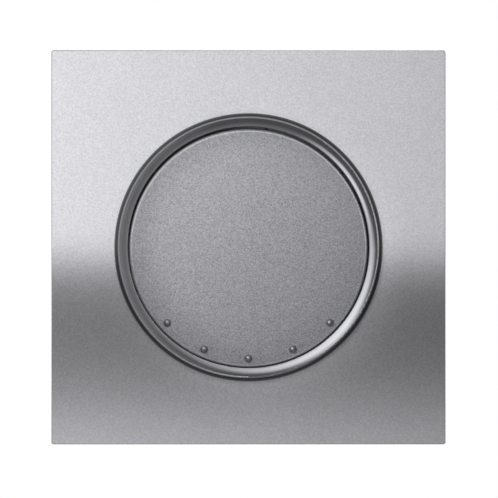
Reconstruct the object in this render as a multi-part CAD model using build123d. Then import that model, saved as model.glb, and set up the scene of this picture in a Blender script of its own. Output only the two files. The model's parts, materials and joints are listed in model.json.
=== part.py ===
from build123d import *
import math
import os

# A flush-mounted light switch: square steel cover plate, trim ring, round rocker and the insert behind them.
# Lengths are in millimetres and angles in degrees.
# Pieces are drawn with X to the right, Y up and Z out of the wall, the wall's surface being Z = 0.
# They are turned upright when they are written, so that the switch faces -Y with Z up.

# Clearances
RUNNING_FIT = 0.05
SEAT_GAP = 0.2
SIDE_GAP = 0.4

# Cover plate
PLATE_SIZE = 80.8
PLATE_THICKNESS = 2.0
PLATE_CORNER_RADIUS = 0.5
PLATE_EDGE_ROUND = 0.3
PLATE_STANDOFF = 8.0

# Rocker cap, with the row of raised dots along its lower edge
ROCKER_DIAMETER = 48.8
ROCKER_THICKNESS = 1.8
ROCKER_RISE = 1.0
ROCKER_EDGE_ROUND = 0.4
ROCKER_SKIRT_WALL = 1.5
ROCKER_SKIRT_DEPTH = 1.6
ROCKER_RIB_COUNT = 6
ROCKER_RIB_WIDTH = 1.0
ROCKER_RIB_DEPTH = 0.9
ROCKER_TILT = 3.5
DOT_COUNT = 5
DOT_DIAMETER = 1.6
DOT_HEIGHT = 0.6
DOT_SPACING = 23.75
DOT_INSET = 1.75

# Trim ring
ROCKER_GAP = 0.4
RING_WIDTH = 2.7
RING_RIM_WIDTH = 0.8
RING_CREST_RISE = 2.0
RING_CREST_RADIUS = 0.3
RING_RIM_BULGE = 0.12
RING_FOOT_HEIGHT = 0.2
RING_COVE_DEPTH = 0.1
RING_LIP_RISE = 1.1
RING_LIP_RADIUS = 0.15
COLLAR_WALL = 1.4
COLLAR_GAP = 0.3
DUST_LIP_REACH = 0.8
DUST_LIP_EDGE = 0.2
HOOK_COUNT = 6
HOOK_ARC = 16.0
HOOK_REACH = 1.0
HOOK_HEIGHT = 1.3
HOOK_TIP = 0.3
HOOK_SLIT = 0.5
HOOK_SLIT_DEPTH = 3.4

# Plate carrier
CARRIER_SETBACK = 0.9
CARRIER_WALL = 1.8
CARRIER_WEB = 1.6
CARRIER_CORNER_RADIUS = 3.0
CARRIER_RIB_WIDTH = 1.2
CARRIER_RIB_DEPTH = 3.0
LATCH_ROOM = 2.2
LATCH_WIDTH = 4.6
LATCH_REACH = 0.7

# Support ring
SUPPORT_SIZE = 71.0
SUPPORT_THICKNESS = 1.0
SUPPORT_CORNER_RADIUS = 6.0
SUPPORT_WINDOW_WIDTH = 30.0
SUPPORT_WINDOW_HEIGHT = 32.0
BEND_RADIUS = 0.5
BEND_LEG = 2.5
LUG_X = 22.0
LUG_WIDTH = 8.0
LUG_HEIGHT = 5.6
LUG_WINDOW_LOW = 2.8
LUG_WINDOW_HEIGHT = 1.9
STIFFENER_LENGTH = 26.0
STIFFENER_HEIGHT = 3.0
BOX_SCREW_SPACING = 60.0
BOX_SLOT_LENGTH = 6.4
BOX_SLOT_WIDTH = 3.8

# Insert housing
BASE_WIDTH = 38.0
BASE_HEIGHT = 38.0
BASE_WALL = 1.6
BASE_CHAMFER = 2.0
REAR_WALL = 2.2
REAR_EDGE_CHAMFER = 0.8
INSERT_DEPTH = 25.0
FLANGE_HEIGHT = 47.0
FLANGE_THICKNESS = 3.0
FLANGE_CORNER_RADIUS = 3.0
INSULATOR_THICKNESS = 1.6
CENTRE_WIDTH = 13.0
CHAMBER_WIDTH = 9.6
DIVIDER_WALL = 1.3
NOTCH_WALL = 1.8
COVER_THICKNESS = 1.6
COVER_RIM_WALL = 1.2
GUARD_WALL = 1.0
GUARD_HEIGHT = 1.4
CHEEK_THICKNESS = 2.8
CHEEK_LENGTH = 8.0
CHEEK_LIP = 1.0
RIVET_X = 11.0
RIVET_EDGE = 2.3
RIVET_RADIUS = 1.25
RIVET_HEAD_RADIUS = 2.0
RIVET_HEAD_HEIGHT = 0.8

# Rocker yoke, plunger and toggle spring
YOKE_WIDTH = 21.2
YOKE_HEIGHT = 18.0
YOKE_THICKNESS = 1.8
YOKE_RISE = 1.6
TRUNNION_RADIUS = 1.4
TUBE_RADIUS = 3.4
TUBE_BORE_RADIUS = 2.1
TUBE_LIFT = 3.5
TUBE_ROOF = 1.6
GUSSET_WIDTH = 1.2
GUSSET_DEPTH = 2.6
CLIP_X = 6.5
CLIP_WIDTH = 4.0
CLIP_WALL = 1.2
CLIP_REACH = 0.7
CLIP_HEIGHT = 1.2
PLUNGER_HEAD_LENGTH = 3.4
PLUNGER_TIP_RADIUS = 1.3
PLUNGER_GAP = 0.12
PLUNGER_TRAVEL = 3.0
SPRING_WIRE_RADIUS = 0.28
SPRING_SIDE_GAP = 0.2
SPRING_TURNS = 5
SPRING_WIRE_SIDES = 6

# Contact lever and contacts
FULCRUM_DEPTH = 7.5
LEVER_THICKNESS = 0.8
LEVER_WIDTH = 4.0
LEVER_REACH = 11.0
LEVER_BEND = 3.0
LEVER_TILT = 6.0
LEVER_PIN_RADIUS = 0.7
CONTACT_REACH = 9.0
CONTACT_RADIUS = 1.4
CONTACT_HEIGHT = 0.5
CONTACT_GAP = 0.08

# Terminals, wire clamps and release buttons
STRIP_THICKNESS = 0.8
ARM_WIDTH = 4.4
ARM_OVERHANG = 2.3
EAR_LENGTH = 4.0
EAR_RISE = 1.4
COMMON_DROP = 5.5
BRIDGE_HEIGHT = 3.0
WIRE_ENTRY = 2.9
WIRE_ENTRY_CORNER = 0.7
WIRE_FUNNEL = 0.5
WIRE_FUNNEL_DEPTH = 0.8
WIRE_PITCH = 4.8
CLAMP_THICKNESS = 0.35
CLAMP_WIDTH = 3.6
CLAMP_BEND_RADIUS = 0.6
CLAMP_BEND_WIDTH = 1.3
CLAMP_LEG = 10.0
CLAMP_TONGUE = 8.8
BUTTON_WALL = 0.5
BUTTON_WIDTH = 1.7
BUTTON_LENGTH = 5.0
BUTTON_SHOULDER = 0.8
BUTTON_PROUD = 0.4
BUTTON_GAP = 0.3
BUTTON_FIT = 0.15

# Spreading claws
CLAW_WIDTH = 8.6
CLAW_THICKNESS = 1.5
CLAW_INSET = 2.0
CLAW_DEPTH = 5.5
CLAW_KNUCKLE_RADIUS = 2.0
CLAW_PIN_RADIUS = 1.0
CLAW_PIN_GRIP = 1.5
CLAW_ARM = 5.0
CLAW_ARM_END = 4.0
CLAW_LEG_LENGTH = 16.5
CLAW_LEG_LEAN = 1.4
CLAW_TIP_RISE = 4.0
CLAW_TIP_REACH = 8.0
CLAW_TOOTH_COUNT = 4
CLAW_TOOTH_DEPTH = 1.2
CLAW_FLANGE_DEPTH = 1.8
CLAW_BEND_RADIUS = 1.5
SCREW_RADIUS = 1.5
SCREW_HEAD_RADIUS = 2.8
SCREW_HEAD_HEIGHT = 1.9
SCREW_SLOT_WIDTH = 0.8
SCREW_SLOT_DEPTH = 1.0
SCREW_TAIL = 2.0
NUT_SIZE = 5.5
NUT_THICKNESS = 2.2

# Depths, worked out from the wall
plate_front = PLATE_STANDOFF + PLATE_THICKNESS
web_back = PLATE_STANDOFF - CARRIER_WEB
lug_window_high = LUG_WINDOW_LOW + LUG_WINDOW_HEIGHT
rocker_front = plate_front + ROCKER_RISE
rocker_back = rocker_front - ROCKER_THICKNESS
pivot_z = rocker_back - YOKE_RISE
yoke_back = rocker_back - YOKE_THICKNESS
cover_front = SUPPORT_THICKNESS + COVER_THICKNESS
chamber_floor = -INSERT_DEPTH + REAR_WALL
fulcrum_z = -FULCRUM_DEPTH
tube_end = fulcrum_z + TUBE_LIFT
common_top = fulcrum_z - COMMON_DROP
common_back = common_top - STRIP_THICKNESS

# The closed contact pair sits where the lever's wing leans at rest
closed_lean = math.radians(LEVER_TILT - LEVER_BEND)
contact_low = (
    fulcrum_z
    - CONTACT_REACH * math.sin(closed_lean)
    - (LEVER_THICKNESS / 2 + CONTACT_HEIGHT) * math.cos(closed_lean)
    - CONTACT_RADIUS * math.sin(closed_lean)
)
arm_top = contact_low - CONTACT_GAP - CONTACT_HEIGHT
arm_back = arm_top - STRIP_THICKNESS

# Radii of the round front, worked out from the rocker
rocker_radius = ROCKER_DIAMETER / 2
ring_bore_radius = rocker_radius + ROCKER_GAP
ring_outer_radius = ring_bore_radius + RING_WIDTH
ring_crest_radius = ring_outer_radius - RING_RIM_WIDTH
collar_radius = ring_bore_radius + COLLAR_WALL
plate_hole_radius = collar_radius + COLLAR_GAP
hook_top = web_back - SEAT_GAP / 2
collar_end = hook_top - HOOK_HEIGHT

# Square frames behind the plate: the carrier reaches the plate's edge and always clears the support ring
support_half = SUPPORT_SIZE / 2
carrier_half = max(PLATE_SIZE / 2 - CARRIER_SETBACK, support_half + LATCH_ROOM + CARRIER_WALL)
pocket_half = carrier_half - CARRIER_WALL

# Half widths and heights of the insert
base_half = BASE_WIDTH / 2
base_top = BASE_HEIGHT / 2
rivet_y = FLANGE_HEIGHT / 2 - RIVET_EDGE
chamber_outer = base_half - BASE_WALL
chamber_inner = chamber_outer - CHAMBER_WIDTH
centre_half = CENTRE_WIDTH / 2
notch_half = CLAW_WIDTH / 2 + SEAT_GAP
chamber_low = notch_half + NOTCH_WALL
chamber_high = base_top - BASE_WALL
chamber_middle = (chamber_low + chamber_high) / 2
centre_reach = LEVER_REACH + 3 * SIDE_GAP
bar_inner = chamber_inner + SEAT_GAP
bar_outer = bar_inner + STRIP_THICKNESS
wire_x = bar_outer + WIRE_ENTRY / 2
button_inner = wire_x + WIRE_ENTRY / 2 + WIRE_FUNNEL + BUTTON_WALL + BUTTON_FIT
button_outer = button_inner + BUTTON_WIDTH
yoke_half = YOKE_WIDTH / 2
cheek_inner = yoke_half + SIDE_GAP
cheek_outer = cheek_inner + CHEEK_THICKNESS
swing = math.sin(math.radians(ROCKER_TILT))
tube_slot_x = TUBE_RADIUS + SIDE_GAP
tube_slot_y = TUBE_RADIUS + SIDE_GAP + (pivot_z - tube_end) * swing

# Spreading claws, worked out from the side of the insert
claw_x = base_half - CLAW_INSET
claw_z = -CLAW_DEPTH
screw_x = claw_x + CLAW_ARM
notch_inner = claw_x - CLAW_KNUCKLE_RADIUS - SIDE_GAP
nut_front = claw_z - CLAW_THICKNESS / 2 - RUNNING_FIT
nut_back = nut_front - NUT_THICKNESS
screw_hole_radius = SCREW_RADIUS + SEAT_GAP


def slab(width, height, z_low, z_high, corner_radius):
    """Flat slab between two depths, with rounded corners."""
    return Pos(0, 0, z_low) * extrude(RectangleRounded(width, height, corner_radius), z_high - z_low)


def block(x_low, x_high, y_low, y_high, z_low, z_high):
    """Rectangular block between two opposite corners."""
    size = (x_high - x_low, y_high - y_low, z_high - z_low)
    return Pos(x_low, y_low, z_low) * Box(*size, align=(Align.MIN, Align.MIN, Align.MIN))


def post(x, y, z_low, z_high, radius):
    """Round post that stands out of the wall."""
    return Pos(x, y, (z_low + z_high) / 2) * Cylinder(radius, z_high - z_low)


def pin_along_x(x_low, x_high, z, radius):
    """Round pin that lies from left to right."""
    return Pos((x_low + x_high) / 2, 0, z) * Rot(0, 90, 0) * Cylinder(radius, x_high - x_low)


def pin_along_y(x, z, length, radius):
    """Round pin that stands upright, centred at mid-height."""
    return Pos(x, 0, z) * Rot(90, 0, 0) * Cylinder(radius, length)


def turned(*points):
    """Solid of revolution about the Z axis, from (radius, depth) points."""
    return revolve(Plane.XZ * make_face(Polyline(*points, close=True)), Axis.Z)


def level_profile(y_middle, width, *points):
    """Profile of (x, z) points, extruded to a width along Y."""
    face = Plane.XZ * make_face(Polyline(*points, close=True))
    return Pos(0, y_middle, 0) * extrude(face, width / 2, both=True)


def four_ways(shape):
    """The shape and its mirror images left, below and both."""
    pair = [shape, mirror(shape, about=Plane.YZ)]
    return pair + [mirror(piece, about=Plane.XZ) for piece in pair]


def on_tilt(shape):
    """A rocker piece, leaned to the resting position with its lower half pressed in."""
    return shape.rotate(Axis((0, 0, pivot_z), (1, 0, 0)), ROCKER_TILT)


def make_cover_plate():
    blank = slab(PLATE_SIZE, PLATE_SIZE, PLATE_STANDOFF, plate_front, PLATE_CORNER_RADIUS)
    plate = blank - post(0, 0, PLATE_STANDOFF, plate_front, plate_hole_radius)
    front_face = plate.faces().sort_by(Axis.Z)[-1]
    return fillet(front_face.outer_wire().edges(), PLATE_EDGE_ROUND)


def make_trim_ring():
    lip_top = plate_front + RING_LIP_RISE
    lip_start = (ring_bore_radius, lip_top - RING_LIP_RADIUS)
    lip_end = (ring_bore_radius + RING_LIP_RADIUS, lip_top)
    crest = (ring_crest_radius, plate_front + RING_CREST_RISE)
    shoulder = (ring_outer_radius, plate_front + RING_FOOT_HEIGHT)
    dust_lip_radius = ring_bore_radius - DUST_LIP_REACH
    outline = [
        JernArc(lip_start, (0, 1), RING_LIP_RADIUS, -90),
        SagittaArc(lip_end, crest, -RING_COVE_DEPTH),
        SagittaArc(crest, shoulder, RING_RIM_BULGE),
        Polyline(
            shoulder,
            (ring_outer_radius, plate_front),
            (collar_radius, plate_front),
            (collar_radius, collar_end),
            (dust_lip_radius, collar_end),
            (dust_lip_radius, collar_end + DUST_LIP_EDGE),
            (ring_bore_radius, collar_end + DUST_LIP_EDGE + DUST_LIP_REACH),
            lip_start,
        ),
    ]
    profile = make_face(outline)
    crest_corner = profile.vertices().sort_by_distance(crest)[0]
    ring = revolve(Plane.XZ * fillet(crest_corner, RING_CREST_RADIUS), Axis.Z)

    hook_radius = collar_radius + HOOK_REACH
    hook_face = make_face(
        Polyline(
            (collar_radius - COLLAR_WALL / 2, hook_top),
            (hook_radius, hook_top),
            (hook_radius, hook_top - HOOK_TIP),
            (collar_radius, collar_end),
            (collar_radius - COLLAR_WALL / 2, collar_end),
            close=True,
        )
    )
    hook = Rot(0, 0, -HOOK_ARC / 2) * revolve(Plane.XZ * hook_face, Axis.Z, HOOK_ARC)
    slit = block(
        ring_bore_radius - COLLAR_WALL,
        hook_radius,
        -HOOK_SLIT / 2,
        HOOK_SLIT / 2,
        collar_end,
        collar_end + HOOK_SLIT_DEPTH,
    )
    slit_angle = HOOK_ARC / 2 + math.degrees(HOOK_SLIT / 2 / ring_bore_radius)
    for place in range(HOOK_COUNT):
        turn = (place + 0.5) * 360 / HOOK_COUNT
        ring += Rot(0, 0, turn) * hook
        ring -= Rot(0, 0, turn - slit_angle) * slit
        ring -= Rot(0, 0, turn + slit_angle) * slit
    return ring


def make_rocker_cap():
    skirt_end = rocker_back - ROCKER_SKIRT_DEPTH
    skirt_inner = rocker_radius - ROCKER_SKIRT_WALL
    cap = turned(
        (0, rocker_back),
        (skirt_inner, rocker_back),
        (skirt_inner, skirt_end),
        (rocker_radius, skirt_end),
        (rocker_radius, rocker_front),
        (0, rocker_front),
    )
    front_edge = cap.faces().sort_by(Axis.Z)[-1].edges()
    cap = fillet(front_edge, ROCKER_EDGE_ROUND)

    dot_radius = (DOT_DIAMETER**2 / 4 + DOT_HEIGHT**2) / (2 * DOT_HEIGHT)
    dot = Pos(0, DOT_INSET - rocker_radius, rocker_front + DOT_HEIGHT - dot_radius) * Sphere(dot_radius)
    for place in range(DOT_COUNT):
        cap += Rot(0, 0, (place - (DOT_COUNT - 1) / 2) * DOT_SPACING) * dot

    rib_start = math.hypot(YOKE_WIDTH, YOKE_HEIGHT) / 2
    rib = block(
        rib_start,
        skirt_inner + ROCKER_SKIRT_WALL / 2,
        -ROCKER_RIB_WIDTH / 2,
        ROCKER_RIB_WIDTH / 2,
        rocker_back - ROCKER_RIB_DEPTH,
        rocker_back,
    )
    for place in range(ROCKER_RIB_COUNT):
        cap += Rot(0, 0, place * 360 / ROCKER_RIB_COUNT) * rib

    leg_inner = YOKE_HEIGHT / 2 + RUNNING_FIT
    nose_top = yoke_back - SEAT_GAP / 2
    nose_end = nose_top - CLIP_HEIGHT
    leg_profile = make_face(
        Polyline(
            (leg_inner, rocker_back),
            (leg_inner, nose_top),
            (leg_inner - CLIP_REACH, nose_top),
            (leg_inner, nose_end),
            (leg_inner + CLIP_WALL, nose_end),
            (leg_inner + CLIP_WALL, rocker_back),
            close=True,
        )
    )
    leg = Pos(CLIP_X, 0, 0) * extrude(Plane.YZ * leg_profile, CLIP_WIDTH / 2, both=True)
    for piece in four_ways(leg):
        cap += piece
    return on_tilt(cap)


def make_rocker_yoke():
    half_height = YOKE_HEIGHT / 2
    yoke = block(-yoke_half, yoke_half, -half_height, half_height, yoke_back, rocker_back)
    yoke += post(0, 0, tube_end, yoke_back, TUBE_RADIUS)
    gusset_end = yoke_half - SIDE_GAP
    gusset = level_profile(
        0,
        GUSSET_WIDTH,
        (-gusset_end, yoke_back),
        (gusset_end, yoke_back),
        (TUBE_RADIUS, yoke_back - GUSSET_DEPTH),
        (-TUBE_RADIUS, yoke_back - GUSSET_DEPTH),
    )
    yoke += gusset
    trunnion_end = cheek_outer - SEAT_GAP
    yoke += pin_along_x(-trunnion_end, -yoke_half + TRUNNION_RADIUS, pivot_z, TRUNNION_RADIUS)
    yoke += pin_along_x(yoke_half - TRUNNION_RADIUS, trunnion_end, pivot_z, TRUNNION_RADIUS)
    yoke -= post(0, 0, tube_end, yoke_back - TUBE_ROOF, TUBE_BORE_RADIUS)
    return on_tilt(yoke)


plunger_tip = fulcrum_z + LEVER_THICKNESS / 2 + PLUNGER_GAP
plunger_shoulder = plunger_tip + PLUNGER_TRAVEL
plunger_top = plunger_shoulder + PLUNGER_HEAD_LENGTH


def make_plunger():
    head_radius = TUBE_BORE_RADIUS - RUNNING_FIT
    plunger = turned(
        (0, plunger_tip + PLUNGER_TIP_RADIUS),
        (PLUNGER_TIP_RADIUS, plunger_tip + PLUNGER_TIP_RADIUS),
        (PLUNGER_TIP_RADIUS, plunger_shoulder),
        (head_radius, plunger_shoulder),
        (head_radius, plunger_top),
        (0, plunger_top),
    )
    plunger += Pos(0, 0, plunger_tip + PLUNGER_TIP_RADIUS) * Sphere(PLUNGER_TIP_RADIUS)
    return on_tilt(plunger)


def make_plunger_spring():
    coil_radius = TUBE_BORE_RADIUS - SPRING_SIDE_GAP - SPRING_WIRE_RADIUS
    start = plunger_top + 2 * SPRING_WIRE_RADIUS
    height = yoke_back - TUBE_ROOF - 2 * SPRING_WIRE_RADIUS - start
    path = Helix(height / SPRING_TURNS, height, coil_radius, center=(0, 0, start))
    wire = Plane(path @ 0, z_dir=path % 0) * RegularPolygon(SPRING_WIRE_RADIUS, SPRING_WIRE_SIDES)
    return on_tilt(sweep(wire, path, is_frenet=True))


def make_plate_carrier():
    outer = 2 * carrier_half
    pocket = 2 * pocket_half
    carrier = slab(outer, outer, 0, PLATE_STANDOFF, CARRIER_CORNER_RADIUS)
    carrier -= slab(pocket, pocket, 0, web_back, CARRIER_CORNER_RADIUS - CARRIER_WALL)
    carrier -= post(0, 0, web_back, PLATE_STANDOFF, plate_hole_radius)

    rib_start = plate_hole_radius + HOOK_REACH + 2 * CARRIER_RIB_WIDTH
    rib = block(
        rib_start,
        pocket_half * math.sqrt(2),
        -CARRIER_RIB_WIDTH / 2,
        CARRIER_RIB_WIDTH / 2,
        web_back - CARRIER_RIB_DEPTH,
        web_back,
    )
    for turn in (45, 135, 225, 315):
        carrier += Rot(0, 0, turn) * rib

    latch_face = support_half + SEAT_GAP
    latch_root = pocket_half + CARRIER_WALL / 2
    nose_low = LUG_WINDOW_LOW + SEAT_GAP
    nose_high = lug_window_high - SEAT_GAP
    latch_profile = make_face(
        Polyline(
            (latch_root, web_back),
            (latch_face, web_back),
            (latch_face, nose_high),
            (latch_face - SEAT_GAP - LATCH_REACH, nose_high),
            (latch_face, nose_low),
            (latch_root, nose_low),
            close=True,
        )
    )
    latch = Pos(LUG_X, 0, 0) * extrude(Plane.YZ * latch_profile, LATCH_WIDTH / 2, both=True)
    for piece in four_ways(latch):
        carrier += piece
    return carrier


def bent_tab(length, height):
    """Sheet edge bent up at a right angle, along the support ring's upper edge."""
    edge = support_half
    inner = edge - SUPPORT_THICKNESS
    outline = make_face(
        Polyline(
            (edge - BEND_LEG, 0),
            (edge, 0),
            (edge, height),
            (inner, height),
            (inner, SUPPORT_THICKNESS),
            (edge - BEND_LEG, SUPPORT_THICKNESS),
            close=True,
        )
    )
    outline = fillet(outline.vertices().sort_by_distance((edge, 0))[0], BEND_RADIUS + SUPPORT_THICKNESS)
    outline = fillet(outline.vertices().sort_by_distance((inner, SUPPORT_THICKNESS))[0], BEND_RADIUS)
    return extrude(Plane.YZ * outline, length / 2, both=True)


def tab_relief(length):
    """Cut beside a bent tab, one sheet thickness wide at each end."""
    half = length / 2 + SUPPORT_THICKNESS
    edge = support_half
    return block(-half, half, edge - BEND_LEG, edge, 0, SUPPORT_THICKNESS)


def make_support_ring():
    ring = slab(2 * support_half, 2 * support_half, 0, SUPPORT_THICKNESS, SUPPORT_CORNER_RADIUS)
    ring -= slab(SUPPORT_WINDOW_WIDTH, SUPPORT_WINDOW_HEIGHT, 0, SUPPORT_THICKNESS, SUPPORT_THICKNESS)

    window_half = LATCH_WIDTH / 2 + SEAT_GAP
    edge = support_half
    latch_window = block(
        -window_half,
        window_half,
        edge - 2 * SUPPORT_THICKNESS,
        edge,
        LUG_WINDOW_LOW,
        lug_window_high,
    )
    lug = bent_tab(LUG_WIDTH, LUG_HEIGHT) - latch_window
    for relief in four_ways(Pos(LUG_X, 0, 0) * tab_relief(LUG_WIDTH)):
        ring -= relief
    for piece in four_ways(Pos(LUG_X, 0, 0) * lug):
        ring += piece
    for turn in (90, -90):
        ring -= Rot(0, 0, turn) * tab_relief(STIFFENER_LENGTH)
        ring += Rot(0, 0, turn) * bent_tab(STIFFENER_LENGTH, STIFFENER_HEIGHT)

    slot = extrude(SlotOverall(BOX_SLOT_LENGTH, BOX_SLOT_WIDTH), SUPPORT_THICKNESS)
    for turn in (0, 90, 180, 270):
        ring -= Rot(0, 0, turn) * Pos(BOX_SCREW_SPACING / 2, 0, 0) * slot
    for side in (-1, 1):
        ring -= post(side * screw_x, 0, 0, SUPPORT_THICKNESS, screw_hole_radius)
    for hole in four_ways(post(RIVET_X, rivet_y, 0, SUPPORT_THICKNESS, RIVET_RADIUS + RUNNING_FIT)):
        ring -= hole
    return ring


def make_housing_cover():
    cover = slab(BASE_WIDTH, FLANGE_HEIGHT, SUPPORT_THICKNESS, cover_front, FLANGE_CORNER_RADIUS)
    rim_width = SUPPORT_WINDOW_WIDTH - 2 * SEAT_GAP
    rim_height = SUPPORT_WINDOW_HEIGHT - 2 * SEAT_GAP
    rim = slab(rim_width, rim_height, SEAT_GAP, SUPPORT_THICKNESS, SUPPORT_THICKNESS)
    rim -= slab(
        rim_width - 2 * COVER_RIM_WALL,
        rim_height - 2 * COVER_RIM_WALL,
        SEAT_GAP,
        SUPPORT_THICKNESS,
        SUPPORT_THICKNESS / 2,
    )
    cover += rim

    guard_top = cover_front + GUARD_HEIGHT
    guard_x = tube_slot_x + GUARD_WALL
    guard_y = tube_slot_y + GUARD_WALL
    cover += block(-guard_x, guard_x, -guard_y, guard_y, cover_front, guard_top)
    cover -= block(-tube_slot_x, tube_slot_x, -tube_slot_y, tube_slot_y, SUPPORT_THICKNESS, guard_top)

    cheek_half = CHEEK_LENGTH / 2
    for side in (-1, 1):
        x_low, x_high = sorted((side * cheek_inner, side * cheek_outer))
        cheek = block(x_low, x_high, -cheek_half, cheek_half, cover_front, pivot_z + CHEEK_LIP)
        cheek = fillet(cheek.edges().filter_by(Axis.X).group_by(Axis.Z)[-1], CHEEK_LIP)
        cover += cheek - pin_along_x(x_low, x_high, pivot_z, TRUNNION_RADIUS + RUNNING_FIT)
    for hole in four_ways(post(RIVET_X, rivet_y, SUPPORT_THICKNESS, cover_front, RIVET_RADIUS + RUNNING_FIT)):
        cover -= hole
    return cover


def make_housing_rivets():
    head_end = cover_front + RIVET_HEAD_HEIGHT
    tail_end = -FLANGE_THICKNESS - RIVET_HEAD_HEIGHT
    rivet = turned(
        (0, tail_end),
        (RIVET_RADIUS, tail_end),
        (RIVET_HEAD_RADIUS, -FLANGE_THICKNESS),
        (RIVET_RADIUS, -FLANGE_THICKNESS),
        (RIVET_RADIUS, cover_front),
        (RIVET_HEAD_RADIUS, cover_front),
        (RIVET_RADIUS, head_end),
        (0, head_end),
    )
    return four_ways(Pos(RIVET_X, rivet_y, 0) * rivet)


def make_base_housing():
    outline = chamfer(Rectangle(BASE_WIDTH, BASE_HEIGHT).vertices(), BASE_CHAMFER)
    body = Pos(0, 0, -INSERT_DEPTH) * extrude(outline, INSERT_DEPTH)
    body = chamfer(body.faces().sort_by(Axis.Z)[0].edges(), REAR_EDGE_CHAMFER)
    base = body + slab(BASE_WIDTH, FLANGE_HEIGHT, -FLANGE_THICKNESS, 0, FLANGE_CORNER_RADIUS)

    # Recess for the insulating plate, then the contact chamber with its raised ledges for the fixed contacts
    base -= block(-chamber_outer, chamber_outer, -chamber_high, chamber_high, -INSULATOR_THICKNESS, 0)
    base -= block(-centre_half, centre_half, -centre_reach, centre_reach, arm_back, -INSULATOR_THICKNESS)
    well = CONTACT_REACH - ARM_WIDTH / 2 - SIDE_GAP - DIVIDER_WALL / 2
    base -= block(-centre_half, centre_half, -well, well, common_back, -INSULATOR_THICKNESS)

    # Four terminal chambers, walled off from the contact chamber, with wire entries and release button slots
    funnel_width = WIRE_ENTRY + 2 * WIRE_FUNNEL
    throat = Rectangle(WIRE_ENTRY, WIRE_ENTRY)
    entry = extrude(chamfer(throat.vertices(), WIRE_ENTRY_CORNER), REAR_WALL)
    entry += loft([Rectangle(funnel_width, funnel_width), Pos(0, 0, WIRE_FUNNEL_DEPTH) * throat])
    chamber = block(
        chamber_inner, chamber_outer, chamber_low, chamber_high, chamber_floor, -INSULATOR_THICKNESS
    )
    for side in (-1, 1):
        chamber += Pos(wire_x, chamber_middle + side * WIRE_PITCH / 2, -INSERT_DEPTH) * entry
    chamber += block(
        button_inner - BUTTON_FIT,
        button_outer + BUTTON_FIT,
        chamber_middle - BUTTON_LENGTH / 2 - BUTTON_FIT,
        chamber_middle + BUTTON_LENGTH / 2 + BUTTON_FIT,
        -INSERT_DEPTH,
        chamber_floor,
    )
    surround = block(
        chamber_inner - DIVIDER_WALL,
        chamber_outer,
        chamber_low - DIVIDER_WALL,
        chamber_high,
        chamber_floor,
        -INSULATOR_THICKNESS,
    )
    for piece in four_ways(surround):
        base += piece
    for piece in four_ways(chamber):
        base -= piece

    # Passages for the terminal strips
    arm_half = ARM_WIDTH / 2 + SEAT_GAP
    passage_end = bar_outer + SEAT_GAP
    for side in (-1, 1):
        arm_y = side * CONTACT_REACH
        base -= block(0, passage_end, arm_y - arm_half, arm_y + arm_half, arm_back, -INSULATOR_THICKNESS)
    base -= block(-chamber_inner, 0, -arm_half, arm_half, common_back, -INSULATOR_THICKNESS)
    base -= block(
        -passage_end,
        -chamber_inner,
        -chamber_low,
        chamber_low,
        common_top - BRIDGE_HEIGHT - SEAT_GAP,
        -INSULATOR_THICKNESS,
    )

    # Side notches for the claws, with bores for their pins
    pin_length = 2 * (notch_half + CLAW_PIN_GRIP)
    for side in (-1, 1):
        x_low, x_high = sorted((side * notch_inner, side * base_half))
        base -= block(x_low, x_high, -notch_half, notch_half, -INSERT_DEPTH, -FLANGE_THICKNESS)
        base -= pin_along_y(side * claw_x, claw_z, pin_length, CLAW_PIN_RADIUS + RUNNING_FIT)
    rivet_hole = post(RIVET_X, rivet_y, -FLANGE_THICKNESS, 0, RIVET_RADIUS + RUNNING_FIT)
    rivet_hole += post(RIVET_X, rivet_y, -INSERT_DEPTH, -FLANGE_THICKNESS, RIVET_HEAD_RADIUS + SEAT_GAP / 2)
    for hole in four_ways(rivet_hole):
        base -= hole
    return base


def make_insulating_plate():
    half_width = chamber_outer - SEAT_GAP
    half_height = chamber_high - SEAT_GAP
    plate = block(-half_width, half_width, -half_height, half_height, -INSULATOR_THICKNESS, 0)
    return plate - block(-tube_slot_x, tube_slot_x, -tube_slot_y, tube_slot_y, -INSULATOR_THICKNESS, 0)


def terminal_bar(top):
    """Conductor bar beside the wire entries of the upper right chamber."""
    low = chamber_low + SEAT_GAP
    high = chamber_high - SEAT_GAP
    return block(bar_inner, bar_outer, low, high, chamber_floor + SEAT_GAP, top)


def make_upper_terminal():
    arm_y = CONTACT_REACH
    arm = block(-ARM_OVERHANG, bar_outer, arm_y - ARM_WIDTH / 2, arm_y + ARM_WIDTH / 2, arm_back, arm_top)
    return terminal_bar(arm_top) + arm


def make_common_terminal():
    bar = mirror(terminal_bar(common_top), about=Plane.YZ)
    terminal = bar + mirror(bar, about=Plane.XZ)
    bridge_half = chamber_low + 2 * SEAT_GAP
    bridge_low = common_top - BRIDGE_HEIGHT
    terminal += block(-bar_outer, -bar_inner, -bridge_half, bridge_half, bridge_low, common_top)

    ear_inner = LEVER_WIDTH / 2 + SIDE_GAP
    ear_outer = ear_inner + STRIP_THICKNESS
    terminal += block(-bar_outer, ear_outer, -ARM_WIDTH / 2, ARM_WIDTH / 2, common_back, common_top)
    ear_half = EAR_LENGTH / 2
    for side in (-1, 1):
        x_low, x_high = sorted((side * ear_inner, side * ear_outer))
        ear = block(x_low, x_high, -ear_half, ear_half, common_top, fulcrum_z + EAR_RISE)
        terminal += ear - pin_along_x(x_low, x_high, fulcrum_z, LEVER_PIN_RADIUS + RUNNING_FIT)
    return terminal


def make_fixed_contacts():
    edge_rise = CONTACT_HEIGHT / 2
    contact = turned(
        (0, arm_top),
        (CONTACT_RADIUS + SEAT_GAP, arm_top),
        (CONTACT_RADIUS + SEAT_GAP, arm_top + edge_rise),
        (CONTACT_RADIUS, arm_top + CONTACT_HEIGHT),
        (0, arm_top + CONTACT_HEIGHT),
    )
    upper = Pos(0, CONTACT_REACH, 0) * contact
    return [upper, mirror(upper, about=Plane.XZ)]


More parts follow.
